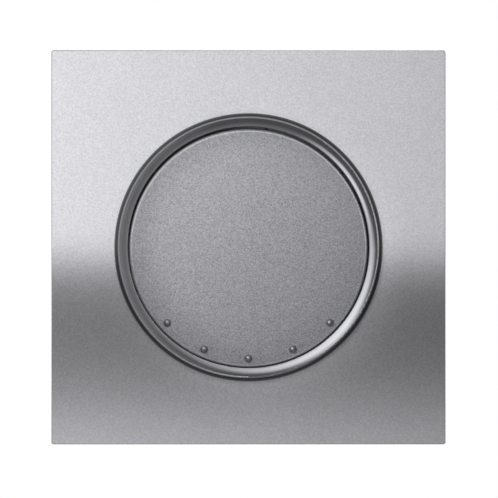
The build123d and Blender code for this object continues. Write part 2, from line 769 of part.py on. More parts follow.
def on_lever(shape):
    """A lever piece, drawn about the fulcrum, leaned to its resting position."""
    return Pos(0, 0, fulcrum_z) * Rot(-LEVER_TILT, 0, 0) * shape


def make_contact_lever():
    half_width = LEVER_WIDTH / 2
    half_thickness = LEVER_THICKNESS / 2
    wing = block(-half_width, half_width, 0, LEVER_REACH, -half_thickness, half_thickness)
    wing += post(0, 0, -half_thickness, half_thickness, half_thickness)
    lever = Rot(LEVER_BEND, 0, 0) * wing + Rot(-LEVER_BEND, 0, 0) * mirror(wing, about=Plane.XZ)
    pin_end = half_width + SIDE_GAP + STRIP_THICKNESS + SEAT_GAP
    lever += pin_along_x(half_width, pin_end, 0, LEVER_PIN_RADIUS)
    lever += pin_along_x(-pin_end, -half_width, 0, LEVER_PIN_RADIUS)
    return on_lever(lever)


def make_moving_contacts():
    back = -LEVER_THICKNESS / 2
    contact = post(0, CONTACT_REACH, back - CONTACT_HEIGHT, back, CONTACT_RADIUS)
    upper = Rot(LEVER_BEND, 0, 0) * contact
    return [on_lever(upper), on_lever(mirror(upper, about=Plane.XZ))]


# The clamp tongue slants from the bend at the chamber's floor up to the conductor bar
clamp_leg_x = chamber_outer - SEAT_GAP - CLAMP_THICKNESS / 2
clamp_low = chamber_floor + SEAT_GAP + CLAMP_THICKNESS / 2
clamp_bend_x = clamp_leg_x - CLAMP_BEND_WIDTH
clamp_tip_x = bar_outer + SEAT_GAP + CLAMP_THICKNESS / 2
clamp_slope = CLAMP_TONGUE / (clamp_bend_x - clamp_tip_x)


def make_clamp_springs():
    path = FilletPolyline(
        (clamp_leg_x, 0, clamp_low + CLAMP_LEG),
        (clamp_leg_x, 0, clamp_low),
        (clamp_bend_x, 0, clamp_low),
        (clamp_tip_x, 0, clamp_low + CLAMP_TONGUE),
        radius=CLAMP_BEND_RADIUS,
    )
    section = Plane(path @ 0, x_dir=(0, 1, 0), z_dir=path % 0) * Rectangle(CLAMP_WIDTH, CLAMP_THICKNESS)
    clamp = sweep(section, path)
    return [Pos(0, chamber_middle + side * WIRE_PITCH / 2, 0) * clamp for side in (-1, 1)]


def make_release_button():
    drop = (CLAMP_THICKNESS / 2 + BUTTON_GAP) * math.hypot(1, clamp_slope)
    tip_outer = clamp_low + (clamp_bend_x - button_outer) * clamp_slope - drop
    tip_inner = tip_outer + BUTTON_WIDTH * clamp_slope
    outer_end = -INSERT_DEPTH - BUTTON_PROUD
    button = level_profile(
        chamber_middle,
        BUTTON_LENGTH,
        (button_inner, outer_end),
        (button_outer, outer_end),
        (button_outer, tip_outer),
        (button_inner, tip_inner),
    )
    shoulder_half = BUTTON_LENGTH / 2 + BUTTON_SHOULDER
    shoulder_low = chamber_floor + SEAT_GAP / 2
    button += block(
        button_inner,
        button_outer,
        chamber_middle - shoulder_half,
        chamber_middle + shoulder_half,
        shoulder_low,
        shoulder_low + BUTTON_SHOULDER,
    )
    return button


def make_claw():
    """Right-hand claw: knuckle on its pin, screw arm outwards and long toothed leg to the rear."""
    leg_path = FilletPolyline(
        (claw_x, 0, claw_z),
        (claw_x + CLAW_LEG_LEAN, 0, claw_z - CLAW_LEG_LENGTH + CLAW_TIP_RISE),
        (claw_x + CLAW_TIP_REACH, 0, claw_z - CLAW_LEG_LENGTH),
        radius=CLAW_BEND_RADIUS,
    )
    section = Plane(leg_path @ 0, x_dir=(0, 1, 0), z_dir=leg_path % 0) * Rectangle(CLAW_WIDTH, CLAW_THICKNESS)
    claw = sweep(section, leg_path)

    tip = leg_path @ 1
    tip_direction = leg_path % 1
    tip_plane = Plane(tip, x_dir=(0, 1, 0), z_dir=tip_direction.cross(Vector(0, 1, 0)))
    tooth_pitch = CLAW_WIDTH / CLAW_TOOTH_COUNT
    for place in range(CLAW_TOOTH_COUNT + 1):
        middle = -CLAW_WIDTH / 2 + place * tooth_pitch
        valley = make_face(
            Polyline(
                (middle - tooth_pitch / 2, 0),
                (middle, -CLAW_TOOTH_DEPTH),
                (middle + tooth_pitch / 2, 0),
                (middle, CLAW_TOOTH_DEPTH),
                close=True,
            )
        )
        claw -= extrude(tip_plane * valley, CLAW_THICKNESS, both=True)

    half_width = CLAW_WIDTH / 2
    half_thickness = CLAW_THICKNESS / 2
    arm_end = screw_x + CLAW_ARM_END
    claw += block(claw_x, arm_end, -half_width, half_width, claw_z - half_thickness, claw_z + half_thickness)
    flange_inner = NUT_SIZE / 2 + SEAT_GAP
    for side in (-1, 1):
        y_low, y_high = sorted((side * flange_inner, side * half_width))
        flange_low = claw_z - half_thickness - CLAW_FLANGE_DEPTH
        claw += block(screw_x - NUT_SIZE / 2, arm_end, y_low, y_high, flange_low, claw_z)
    claw += pin_along_y(claw_x, claw_z, CLAW_WIDTH, CLAW_KNUCKLE_RADIUS)
    claw -= pin_along_y(claw_x, claw_z, CLAW_WIDTH, CLAW_PIN_RADIUS + RUNNING_FIT)

    slot_radius = SCREW_RADIUS + 2 * SEAT_GAP
    slot = SlotOverall(2 * slot_radius + 2 * SEAT_GAP, 2 * slot_radius)
    claw -= Pos(screw_x, 0, claw_z - half_thickness) * extrude(slot, CLAW_THICKNESS)
    return claw


def make_claw_pivot_pins():
    length = 2 * (notch_half + CLAW_PIN_GRIP - SEAT_GAP)
    return [pin_along_y(side * claw_x, claw_z, length, CLAW_PIN_RADIUS) for side in (-1, 1)]


def make_claw_screw():
    head_low = SUPPORT_THICKNESS + RUNNING_FIT
    head_high = head_low + SCREW_HEAD_HEIGHT
    screw = post(screw_x, 0, nut_back - SCREW_TAIL, head_low, SCREW_RADIUS)
    screw += post(screw_x, 0, head_low, head_high, SCREW_HEAD_RADIUS)
    return screw - block(
        screw_x - SCREW_HEAD_RADIUS,
        screw_x + SCREW_HEAD_RADIUS,
        -SCREW_SLOT_WIDTH / 2,
        SCREW_SLOT_WIDTH / 2,
        head_high - SCREW_SLOT_DEPTH,
        head_high,
    )


def make_claw_nut():
    half = NUT_SIZE / 2
    nut = block(screw_x - half, screw_x + half, -half, half, nut_back, nut_front)
    return nut - post(screw_x, 0, nut_back, nut_front, SCREW_RADIUS + RUNNING_FIT)


def to_left(shape):
    return mirror(shape, about=Plane.YZ)


def to_lower(shape):
    return mirror(shape, about=Plane.XZ)


clamps = make_clamp_springs()
button = make_release_button()
upper_terminal = make_upper_terminal()
claw = make_claw()
screw = make_claw_screw()
nut = make_claw_nut()

pieces = {
    "cover_plate": make_cover_plate(),
    "trim_ring": make_trim_ring(),
    "rocker_cap": make_rocker_cap(),
    "rocker_yoke": make_rocker_yoke(),
    "plunger": make_plunger(),
    "plunger_spring": make_plunger_spring(),
    "plate_carrier": make_plate_carrier(),
    "support_ring": make_support_ring(),
    "housing_cover": make_housing_cover(),
    "housing_rivets": make_housing_rivets(),
    "base_housing": make_base_housing(),
    "insulating_plate": make_insulating_plate(),
    "upper_terminal": upper_terminal,
    "lower_terminal": to_lower(upper_terminal),
    "common_terminal": make_common_terminal(),
    "fixed_contacts": make_fixed_contacts(),
    "contact_lever": make_contact_lever(),
    "moving_contacts": make_moving_contacts(),
    "clamp_springs_upper_right": clamps,
    "clamp_springs_upper_left": [to_left(clamp) for clamp in clamps],
    "clamp_springs_lower_right": [to_lower(clamp) for clamp in clamps],
    "clamp_springs_lower_left": [to_left(to_lower(clamp)) for clamp in clamps],
    "release_button_upper_right": button,
    "release_button_upper_left": to_left(button),
    "release_button_lower_right": to_lower(button),
    "release_button_lower_left": to_left(to_lower(button)),
    "claw_right": claw,
    "claw_left": to_left(claw),
    "claw_pivot_pins": make_claw_pivot_pins(),
    "claw_screw_right": screw,
    "claw_screw_left": to_left(screw),
    "claw_nut_right": nut,
    "claw_nut_left": to_left(nut),
}

os.makedirs("parts", exist_ok=True)
upright = Rot(90, 0, 0)
for name, piece in pieces.items():
    solids = piece if isinstance(piece, list) else [piece]
    export_step(Compound(children=[upright * solid for solid in solids]), f"parts/{name}.step")
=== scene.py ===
import json
import math

import bmesh
import bpy
from mathutils import Matrix, Vector


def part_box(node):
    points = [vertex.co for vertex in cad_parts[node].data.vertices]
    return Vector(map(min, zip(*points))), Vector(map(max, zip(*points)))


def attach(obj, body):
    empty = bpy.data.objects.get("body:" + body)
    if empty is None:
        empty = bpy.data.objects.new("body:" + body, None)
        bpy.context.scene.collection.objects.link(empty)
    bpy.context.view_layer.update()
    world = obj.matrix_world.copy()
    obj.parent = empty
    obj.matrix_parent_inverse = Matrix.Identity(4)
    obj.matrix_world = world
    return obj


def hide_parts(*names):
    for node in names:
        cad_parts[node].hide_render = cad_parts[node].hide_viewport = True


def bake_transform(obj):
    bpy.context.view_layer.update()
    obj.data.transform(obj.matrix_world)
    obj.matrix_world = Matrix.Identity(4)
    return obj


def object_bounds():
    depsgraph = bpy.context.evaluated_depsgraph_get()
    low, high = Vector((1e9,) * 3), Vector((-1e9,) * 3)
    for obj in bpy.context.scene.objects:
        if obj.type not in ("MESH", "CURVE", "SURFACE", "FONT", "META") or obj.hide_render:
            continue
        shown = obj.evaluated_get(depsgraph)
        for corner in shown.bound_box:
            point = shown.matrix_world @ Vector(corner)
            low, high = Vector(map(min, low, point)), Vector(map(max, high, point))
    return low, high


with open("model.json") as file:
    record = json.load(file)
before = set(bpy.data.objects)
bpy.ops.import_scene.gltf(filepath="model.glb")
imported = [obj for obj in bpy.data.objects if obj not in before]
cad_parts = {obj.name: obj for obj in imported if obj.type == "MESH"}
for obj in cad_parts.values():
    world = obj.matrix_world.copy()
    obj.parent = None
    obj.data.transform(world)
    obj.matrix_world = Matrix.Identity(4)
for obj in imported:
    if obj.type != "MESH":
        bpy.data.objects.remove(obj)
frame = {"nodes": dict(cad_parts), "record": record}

CAD_BOX = [list(corner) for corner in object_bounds()]

# Lengths are in metres. The switch faces -Y, with +X to the right and +Z up.
MM = 0.001
PLATE_LOW, PLATE_HIGH = (Vector(corner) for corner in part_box("cover_plate"))
PLATE_MIDDLE = (PLATE_LOW + PLATE_HIGH) / 2
PLATE_FRONT = PLATE_LOW.y
PLATE_WIDTH = PLATE_HIGH.x - PLATE_LOW.x

# The rocker at rest: its pivot, its tilt and how far its flat face stands before the pivot
JOINTS = {joint["name"]: joint for joint in frame["record"]["behaviour"]["joints"]}
ROCKER_PIVOT = Vector(JOINTS["rocker_tilt"]["pos_m"])
ROCKER_TILT = math.radians(3.5)
ROCKER_FACE_HEIGHT = 3.4 * MM
ROCKER_EDGE_RADIUS = 24.4 * MM
RING_BORE_RADIUS = 24.8 * MM
RING_CREST_RADIUS = 26.62 * MM

# Zones of the front's finishes and of the highlights and shade painted on it: where each begins to show and
# where it shows fully.
# The dots' zone is a height above the rocker's face, the others are radii.
DOT_ZONE = (0.02 * MM, 0.12 * MM)
ROCKER_EDGE_HIGHLIGHT_ZONE = (ROCKER_EDGE_RADIUS - 0.55 * MM, ROCKER_EDGE_RADIUS - 0.38 * MM)
ROCKER_SKIRT_SHADE_ZONE = (ROCKER_EDGE_RADIUS - 0.3 * MM, ROCKER_EDGE_RADIUS - 0.16 * MM)
RING_BORE_PALE_ZONE = (RING_BORE_RADIUS + 0.06 * MM, RING_BORE_RADIUS + 0.02 * MM)
RING_CREST_INNER_ZONE = (RING_CREST_RADIUS - 0.22 * MM, RING_CREST_RADIUS - 0.1 * MM)
RING_CREST_OUTER_ZONE = (RING_CREST_RADIUS + 0.22 * MM, RING_CREST_RADIUS + 0.1 * MM)
RING_RIM_SHADE_ZONE = (RING_CREST_RADIUS + 0.15 * MM, RING_CREST_RADIUS + 0.3 * MM)

# Noise seldom leaves this part of its range
NOISE_LOW, NOISE_HIGH = 0.3, 0.7

# Claw screws: a fine thread, cut into the shank below the neck that passes the support ring.
# The ridge is one turn's outline, as radii and shares of the pitch.
SCREW_PITCH = 0.5 * MM
SCREW_CREST = 1.5 * MM
SCREW_ROOT = 1.2 * MM
SCREW_RIDGE = [(SCREW_ROOT, 0.0), (SCREW_CREST, 0.42), (SCREW_CREST, 0.58), (SCREW_ROOT, 1.0)]
SCREW_STEPS = 24
SCREW_NECK_END = 0.3 * MM
SCREW_NECK_OVERLAP = 0.1 * MM
SCREW_TIP = 0.5 * MM
SCREW_TIP_TAPER = 0.75

# Wire clamps, measured outwards from the switch's middle: where the tongue springs from its bend,
# where it has gone all the way with its button, and the strips that it bends in between
CLAMP_ROOT = 15.6 * MM
CLAMP_PUSHED = 13.85 * MM
CLAMP_STRIPS = 8

# Pieces that take a solid's place: corners this near are one, and edges past this angle stay sharp
WELD_DISTANCE = 0.001 * MM
SHARP_ANGLE = math.radians(32)

# The photograph's frame: the plate's width and middle in pixels of a square picture
PICTURE_PIXELS = 498
PLATE_PIXELS = 394.2
PLATE_MIDDLE_PIXEL = (248.5, 247.3)
CAMERA_DISTANCE = 2.4
SENSOR_MILLIMETRES = 36.0

# Floor and surroundings
FLOOR_DROP = 120 * MM
FLOOR_HALF_WIDTH = 1.5
WORLD_FILL = 0.25

# The plate's card: how far it stands before the plate, the hole before the rocker, how much it fades
# from the left to the right, and its level at heights in millimetres from the plate's middle
CARD_DISTANCE = 12 * MM
CARD_RADIUS = 110 * MM
CARD_HOLE_RADIUS = 22.5 * MM
CARD_SIDE_FALL = 0.32
CARD_LEVELS = [
    (-40, 0.60), (-35, 0.49), (-31, 0.39), (-27, 0.32), (-23, 0.27), (-19, 0.245), (-15, 0.24),
    (-11, 0.25), (-8, 0.30), (-5, 0.44), (-1.5, 0.79), (1, 0.97), (3, 1.0),
]
CIRCLE_CORNERS = 96

# The dark hoop round the switch
HOOP_RADIUS = 78 * MM
HOOP_BACK = 30 * MM
HOOP_LEVEL = 0.22

# The front card: walls that get paler to the right, and soft round glows. A glow's values are its middle
# across and up from the plate's middle, its radius, all in millimetres, and its level.
FRONT_DISTANCE = 100 * MM
FRONT_WIDTH = 500 * MM
WALL_LEFT, WALL_LEFT_LEVEL = 20 * MM, 0.4
WALL_RIGHT, WALL_RIGHT_LEVEL = 130 * MM, 1.1
FRONT_GLOWS = {
    "soft_box": (-55, 55, 105, 5.8),
    "soft_box_end": (-120, 120, 90, 3.2),
    "side_window": (-46, -31, 34, 4.6),
    "straight_ahead": (0, 0, 90, 1.1),
}

# Lamps
KEY_LAMP_PLACE = Vector((-50, -80, 50)) * MM
KEY_LAMP_WIDTH = 80 * MM
KEY_LAMP_LEVEL = 5.4
BACK_LAMP_PLACE = Vector((180, 350, 250)) * MM
BACK_LAMP_WIDTH = 300 * MM
BACK_LAMP_LEVEL = 4.5


class Value:
    """An output socket of a shader node that takes part in arithmetic."""

    def __init__(self, nodes, socket):
        self.nodes = nodes
        self.socket = socket

    def combine(self, operation, first, second):
        return self.nodes.node("ShaderNodeMath", {"operation": operation}, {0: first, 1: second})

    def __add__(self, other):
        return self.combine("ADD", self, other)

    def __radd__(self, other):
        return self.combine("ADD", other, self)

    def __sub__(self, other):
        return self.combine("SUBTRACT", self, other)

    def __rsub__(self, other):
        return self.combine("SUBTRACT", other, self)

    def __mul__(self, other):
        return self.combine("MULTIPLY", self, other)

    def __rmul__(self, other):
        return self.combine("MULTIPLY", other, self)


class Nodes:
    """A node tree whose nodes are made by one method."""

    def __init__(self, tree):
        self.tree = tree

    def node(self, kind, settings=None, inputs=None, output=0):
        """Makes a node and returns one of its outputs. Inputs are numbers, colours or other values."""
        made = self.tree.nodes.new(kind)
        for name, value in (settings or {}).items():
            if name == "stops":
                self.set_stops(made.color_ramp, value)
            else:
                setattr(made, name, value)
        for name, value in (inputs or {}).items():
            self.feed(made.inputs[name], value)
        return Value(self, made.outputs[output])

    def set_stops(self, ramp, stops):
        """Gives a colour ramp its stops, each with a place from 0 to 1 and a colour."""
        while len(ramp.elements) < len(stops):
            ramp.elements.new(1.0)
        for element, (place, colour) in zip(ramp.elements, stops):
            element.position = place
            element.color = colour

    def feed(self, socket, value):
        """Links a value to a socket, or sets the socket where the value is a constant."""
        if isinstance(value, Value):
            self.tree.links.new(value.socket, socket)
        else:
            socket.default_value = value


def grey(level, blue=1.0):
    """A grey with a little more or less blue, as a colour socket takes it."""
    return (level, level, level * blue, 1.0)


class Finish(Nodes):
    """A finish of the switch: a material, its surface shader and the patterns on it."""

    def __init__(self, name, **constants):
        self.material = bpy.data.materials.new(name)
        self.material.use_nodes = True
        super().__init__(self.material.node_tree)
        self.shader = self.tree.nodes["Principled BSDF"]
        for socket, value in constants.items():
            self.shader.inputs[socket.replace("_", " ")].default_value = value
        self.place = self.node("ShaderNodeTexCoord", output="Object")

    def set(self, socket, value):
        """Feeds an input of the surface shader."""
        self.feed(self.shader.inputs[socket], value)

    def noise(self, size, detail=2.0, stretch=(1, 1, 1)):
        """Noise from 0 to 1 with grains of a given size in metres, stretched along an axis if wished."""
        squeeze = [1 / share for share in stretch]
        place = self.node("ShaderNodeMapping", inputs={"Vector": self.place, "Scale": squeeze})
        inputs = {"Vector": place, "Scale": 1 / size, "Detail": detail}
        return self.node("ShaderNodeTexNoise", inputs=inputs, output="Fac")

    def flecks(self, size):
        """Random level for each tiny cell, as flakes in a metallic lacquer have."""
        inputs = {"Vector": self.place, "Scale": 1 / size}
        colour = self.node("ShaderNodeTexVoronoi", inputs=inputs, output="Color")
        return self.node("ShaderNodeSeparateColor", inputs={"Color": colour})

    def spread(self, value, low, high):
        """The middle of a noise's range, stretched between two numbers."""
        limits = {"From Min": NOISE_LOW, "From Max": NOISE_HIGH, "To Min": low, "To Max": high}
        return self.node("ShaderNodeMapRange", inputs={"Value": value, **limits})

    def tint(self, factor, dark, light):
        """A colour between two, by a factor from 0 to 1."""
        stops = [(0.0, dark), (1.0, light)]
        return self.node("ShaderNodeValToRGB", {"stops": stops}, {"Fac": factor})

    def ramp(self, value, start, end):
        """Rises from 0 to 1 between two values, or falls where the first is the larger one."""
        limits = {"From Min": start, "From Max": end}
        return self.node("ShaderNodeMapRange", inputs={"Value": value, **limits})

    def radius(self, middle, axis):
        """Distance from the line through a point along a unit vector, the axis of a round piece."""
        away = self.node("ShaderNodeVectorMath", {"operation": "SUBTRACT"}, {0: self.place, 1: middle})
        across = self.node("ShaderNodeVectorMath", {"operation": "CROSS_PRODUCT"}, {0: away, 1: axis})
        return self.node("ShaderNodeVectorMath", {"operation": "LENGTH"}, {0: across}, "Value")

    def height(self, axis):
        """Distance along a unit vector, from the origin."""
        dot_product = {"operation": "DOT_PRODUCT"}
        return self.node("ShaderNodeVectorMath", dot_product, {0: self.place, 1: axis}, "Value")

    def bump(self, height, distance):
        """A fine texture, as deep as the distance where its height goes from 0 to 1."""
        inputs = {"Height": height, "Distance": distance, "Strength": 1.0}
        self.set("Normal", self.node("ShaderNodeBump", inputs=inputs))


def make_stainless():
    """Fine satin stainless steel: even grain, no long scratches."""
    finish = Finish("satin_stainless", Metallic=1.0)
    grain = finish.noise(0.26 * MM, detail=3.0)
    cloud = finish.noise(9 * MM)
    level = finish.spread(grain, 0.0, 0.8) + 0.2 * cloud
    finish.set("Base Color", finish.tint(level, grey(0.61, 1.05), grey(0.86, 1.05)))
    finish.set("Roughness", finish.spread(grain, 0.30, 0.37))
    finish.bump(grain, 0.004 * MM)
    return finish.material


def make_trim_gloss():
    """Dark gloss lacquer on a metallic coat, with a painted highlight paler on the crest, painted shade
    deeper on the rim, and the bore unlacquered and painted pale as light in the gap.
    """
    finish = Finish("dark_gloss_lacquer", Coat_Roughness=0.12, Specular_IOR_Level=0.2)
    cloud = finish.noise(6 * MM)
    radius = finish.radius(PLATE_MIDDLE, (0, 1, 0))
    crest = finish.ramp(radius, *RING_CREST_INNER_ZONE) * finish.ramp(radius, *RING_CREST_OUTER_ZONE)
    # painted shade: the rim outside the crest is painted darker, less metallic and without coat
    rim = finish.ramp(radius, *RING_RIM_SHADE_ZONE)
    # painted light: the bore is unlacquered, rough plastic painted pale, so that the gap round the rocker
    # looks lit
    pale_painted_bore = finish.ramp(radius, *RING_BORE_PALE_ZONE)
    # painted highlight: the crest is painted paler, with a little noise, and made rougher
    painted_crest_highlight = crest * finish.spread(finish.noise(1.5 * MM), 0.85, 1.0)
    level = 0.11 + 0.05 * cloud - 0.15 * rim + 0.19 * painted_crest_highlight + 0.7 * pale_painted_bore
    coat = finish.spread(cloud, 0.25, 0.35) * (1.0 - pale_painted_bore) * (1.0 - rim) * (1.0 - crest)
    finish.set("Base Color", finish.tint(level, grey(0.02, 1.06), grey(0.8, 1.05)))
    finish.set("Metallic", 0.9 - 0.7 * rim - 0.9 * pale_painted_bore)
    finish.set("Roughness", finish.spread(cloud, 0.13, 0.17) + 0.4 * pale_painted_bore + 0.32 * painted_crest_highlight)
    finish.set("Coat Weight", coat)
    finish.bump(finish.noise(0.5 * MM), 0.0006 * MM)
    return finish.material


def make_rocker_lacquer():
    """Silver-grey metallic lacquer with fine flakes: smoother on the dots and painted darker there as shade,
    a painted highlight on the rounded edge, and painted shade, dark and not metallic, on the skirt.
    """
    finish = Finish("metallic_lacquer")
    flake = finish.flecks(0.2 * MM)
    grain = finish.noise(0.26 * MM, detail=3.0)
    outwards = (0, -math.cos(ROCKER_TILT), -math.sin(ROCKER_TILT))
    face = Vector(outwards).dot(ROCKER_PIVOT) + ROCKER_FACE_HEIGHT
    on_dot = finish.ramp(finish.height(outwards), *(face + rise for rise in DOT_ZONE))
    radius = finish.radius(ROCKER_PIVOT, outwards)
    # painted highlight: the rounded edge is painted paler, more metallic and smoother
    edge = finish.ramp(radius, *ROCKER_EDGE_HIGHLIGHT_ZONE)
    # painted shade: the skirt below the rounded edge is painted dark and not metallic
    skirt = finish.ramp(radius, *ROCKER_SKIRT_SHADE_ZONE)
    # painted shade: the dots' tone is painted darker than the face's
    level = (0.5 * flake + 0.5 * finish.spread(grain, 0.0, 1.0)) * (1.0 - 0.6 * on_dot)
    tone = (0.12 + 0.29 * level + 0.31 * edge) * (1.0 - 0.75 * skirt)
    finish.set("Base Color", finish.tint(tone, grey(0.03, 1.07), grey(0.86, 1.07)))
    finish.set("Metallic", (0.25 + 0.55 * on_dot + 0.75 * edge) * (1.0 - skirt))
    finish.set("Roughness", finish.spread(grain, 0.44, 0.54) - 0.12 * on_dot - 0.2 * edge)
    finish.bump(level, 0.006 * MM)
    return finish.material


def make_moulded_plastic(name, level, blue, roughness, pit_size):
    """Moulded plastic with a spark-eroded texture and a slightly uneven tone."""
    finish = Finish(name, Metallic=0.0)
    cloud = finish.noise(7 * MM)
    pits = finish.noise(pit_size)
    finish.set("Base Color", finish.tint(cloud, grey(level * 0.9, blue), grey(level * 1.08, blue)))
    finish.set("Roughness", finish.spread(pits, roughness - 0.06, roughness + 0.06))
    finish.bump(pits, 0.008 * MM)
    return finish.material


def make_zinc_steel():
    """Galvanised sheet steel with soft spangles and rolling streaks."""
    finish = Finish("galvanised_steel", Metallic=1.0)
    spangle = finish.flecks(2.2 * MM)
    streak = finish.noise(0.6 * MM, stretch=(1, 1, 14))
    level = 0.5 * spangle + 0.5 * streak
    finish.set("Base Color", finish.tint(level, (0.48, 0.50, 0.53, 1.0), (0.66, 0.68, 0.70, 1.0)))
    finish.set("Roughness", finish.spread(streak, 0.32, 0.48))
    finish.bump(streak, 0.004 * MM)
    return finish.material


def make_plain_metal(name, dark, light, roughness, grain_size):
    """Small stamped or drawn metal pieces, tumbled so that their tone varies a little."""
    finish = Finish(name, Metallic=1.0)
    cloud = finish.noise(3 * MM)
    grain = finish.noise(grain_size, detail=3.0)
    finish.set("Base Color", finish.tint(cloud, dark, light))
    finish.set("Roughness", finish.spread(grain, *roughness))
    finish.bump(grain, 0.003 * MM)
    return finish.material


# The finishes by the slots that the record names
FINISHES = {
    "stainless": make_stainless(),
    "trim_gloss": make_trim_gloss(),
    "rocker_lacquer": make_rocker_lacquer(),
    "carrier_plastic": make_moulded_plastic("dark_carrier_plastic", 0.045, 1.04, 0.52, 0.35 * MM),
    "zinc_steel": make_zinc_steel(),
    "housing_plastic": make_moulded_plastic("pale_housing_plastic", 0.56, 0.95, 0.46, 0.3 * MM),
    "cover_plastic": make_moulded_plastic("grey_cover_plastic", 0.09, 1.0, 0.48, 0.3 * MM),
    "yoke_plastic": make_moulded_plastic("white_yoke_plastic", 0.66, 0.98, 0.40, 0.3 * MM),
    "button_plastic": make_moulded_plastic("grey_button_plastic", 0.20, 1.05, 0.42, 0.25 * MM),
    "terminal_brass": make_plain_metal(
        "terminal_brass", (0.62, 0.42, 0.15, 1.0), (0.76, 0.55, 0.24, 1.0), (0.24, 0.36), 0.3 * MM
    ),
    "contact_silver": make_plain_metal("contact_silver", grey(0.76), grey(0.87), (0.16, 0.28), 0.2 * MM),
    "spring_steel": make_plain_metal(
        "spring_steel", grey(0.40, 1.05), grey(0.55, 1.05), (0.2, 0.32), 0.25 * MM
    ),
}


def dress_nodes():
    """Gives every piece its finish, by the slot that the record names for it."""
    for part in frame["record"]["subparts"]:
        piece = frame["nodes"][part["node"]]
        piece.data.materials.clear()
        piece.data.materials.append(FINISHES[part["material_slot"]])


def copy_solid(node):
    """The shape of a solid, with its corners welded, to work on."""
    shape = bmesh.new()
    shape.from_mesh(frame["nodes"][node].data)
    bmesh.ops.remove_doubles(shape, verts=shape.verts[:], dist=WELD_DISTANCE)
    return shape


def stand_for(node, name, mesh, slot):
    """A piece that takes the place of a plainer solid, with that solid's finish."""
    mesh.shade_smooth()
    mesh.set_sharp_from_angle(angle=SHARP_ANGLE)
    mesh.materials.append(FINISHES[slot])
    piece = bpy.data.objects.new(name, mesh)
    bpy.context.scene.collection.objects.link(piece)
    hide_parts(node)
    return piece


def everything_in(shape):
    """All corners, edges and faces of a shape, as a cut takes them."""
    return shape.verts[:] + shape.edges[:] + shape.faces[:]


def cut_across(shape, depth, keep_front):
    """Cuts a shape across at a depth behind the wall's face and keeps one side of it."""
    bmesh.ops.bisect_plane(
        shape, geom=everything_in(shape), plane_co=(0, depth, 0), plane_no=(0, 1, 0),
        clear_outer=keep_front, clear_inner=not keep_front,
    )


def close_ends(shape):
    """Fills the open rims that cuts have left."""
    rims = [edge for edge in shape.edges if edge.is_boundary]
    return bmesh.ops.holes_fill(shape, edges=rims)["faces"]


def make_thread(middle, tail):
    """Right-hand thread from inside the screw's neck to a tapered tip."""
    thread = bmesh.new()
    start = SCREW_NECK_END - 2 * SCREW_PITCH
    turns = math.ceil((tail - start) / SCREW_PITCH) + 1
    points = [(middle.x + radius, start + share * SCREW_PITCH, middle.z) for radius, share in SCREW_RIDGE]
    corners = [thread.verts.new(point) for point in points]
    for pair in zip(corners, corners[1:]):
        thread.edges.new(pair)
    bmesh.ops.spin(
        thread, geom=thread.verts[:] + thread.edges[:], cent=middle, axis=(0, 1, 0),
        dvec=(0, SCREW_PITCH / SCREW_STEPS, 0), angle=2 * math.pi * turns, steps=SCREW_STEPS * turns,
    )
    bmesh.ops.remove_doubles(thread, verts=thread.verts[:], dist=WELD_DISTANCE)
    cut_across(thread, SCREW_NECK_END - SCREW_NECK_OVERLAP, keep_front=False)
    cut_across(thread, tail - SCREW_TIP, keep_front=True)
    end = max(close_ends(thread), key=lambda face: face.calc_center_median().y)
    tip = bmesh.ops.extrude_face_region(thread, geom=[end])["geom"]
    rim = [item for item in tip if isinstance(item, bmesh.types.BMVert)]
    taper = (SCREW_TIP_TAPER, 1, SCREW_TIP_TAPER)
    bmesh.ops.translate(thread, verts=rim, vec=(0, SCREW_TIP, 0))
    bmesh.ops.scale(thread, verts=rim, vec=taper, space=Matrix.Translation(-middle))
    bmesh.ops.recalc_face_normals(thread, faces=thread.faces[:])
    return thread


def make_claw_screw(side):
    """The claw screw's own head, with a cut thread in place of its smooth shank."""
    node = "claw_screw_" + side
    low, high = (Vector(corner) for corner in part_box(node))
    screw = copy_solid(node)
    cut_across(screw, SCREW_NECK_END, keep_front=True)
    close_ends(screw)
    mesh = bpy.data.meshes.new("threaded_" + node)
    thread = make_thread((low + high) / 2, high.y)
    thread.to_mesh(mesh)
    thread.free()
    screw.from_mesh(mesh)
    screw.to_mesh(mesh)
    screw.free()
    piece = stand_for(node, "threaded_" + node, mesh, "zinc_steel")
    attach(piece, node)


def make_clamp_springs(height, side):
    """The pair of wire clamps in one cell, cut into strips across the tongue between its bend and where the
    release button pushes it.
    """
    cell = height + "_" + side
    node = "clamp_springs_" + cell
    outwards = 1 if side == "right" else -1
    root, pushed = (Vector((outwards * reach, 0, 0)) for reach in (CLAMP_ROOT, CLAMP_PUSHED))
    clamps = copy_solid(node)
    for cut in range(CLAMP_STRIPS + 1):
        place = root.lerp(pushed, cut / CLAMP_STRIPS)
        bmesh.ops.bisect_plane(clamps, geom=everything_in(clamps), plane_co=place, plane_no=(1, 0, 0))
    mesh = bpy.data.meshes.new("bending_" + node)
    clamps.to_mesh(mesh)
    clamps.free()
    piece = stand_for(node, "bending_" + node, mesh, "spring_steel")
    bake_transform(piece)


def place_camera():
    """Straight on from far away, framed as the photograph is."""
    data = bpy.data.cameras.new("camera")
    camera = bpy.data.objects.new("camera", data)
    bpy.context.scene.collection.objects.link(camera)
    metres_per_pixel = PLATE_WIDTH / PLATE_PIXELS
    offset = [PICTURE_PIXELS / 2 - pixel for pixel in PLATE_MIDDLE_PIXEL]
    middle_x = PLATE_MIDDLE.x + offset[0] * metres_per_pixel
    middle_z = PLATE_MIDDLE.z - offset[1] * metres_per_pixel
    camera.location = (middle_x, PLATE_FRONT - CAMERA_DISTANCE, middle_z)
    camera.rotation_euler = (math.radians(90), 0, 0)
    data.sensor_width = SENSOR_MILLIMETRES
    data.lens = SENSOR_MILLIMETRES * CAMERA_DISTANCE / (PICTURE_PIXELS * metres_per_pixel)
    data.dof.use_dof = False
    bpy.context.scene.camera = camera


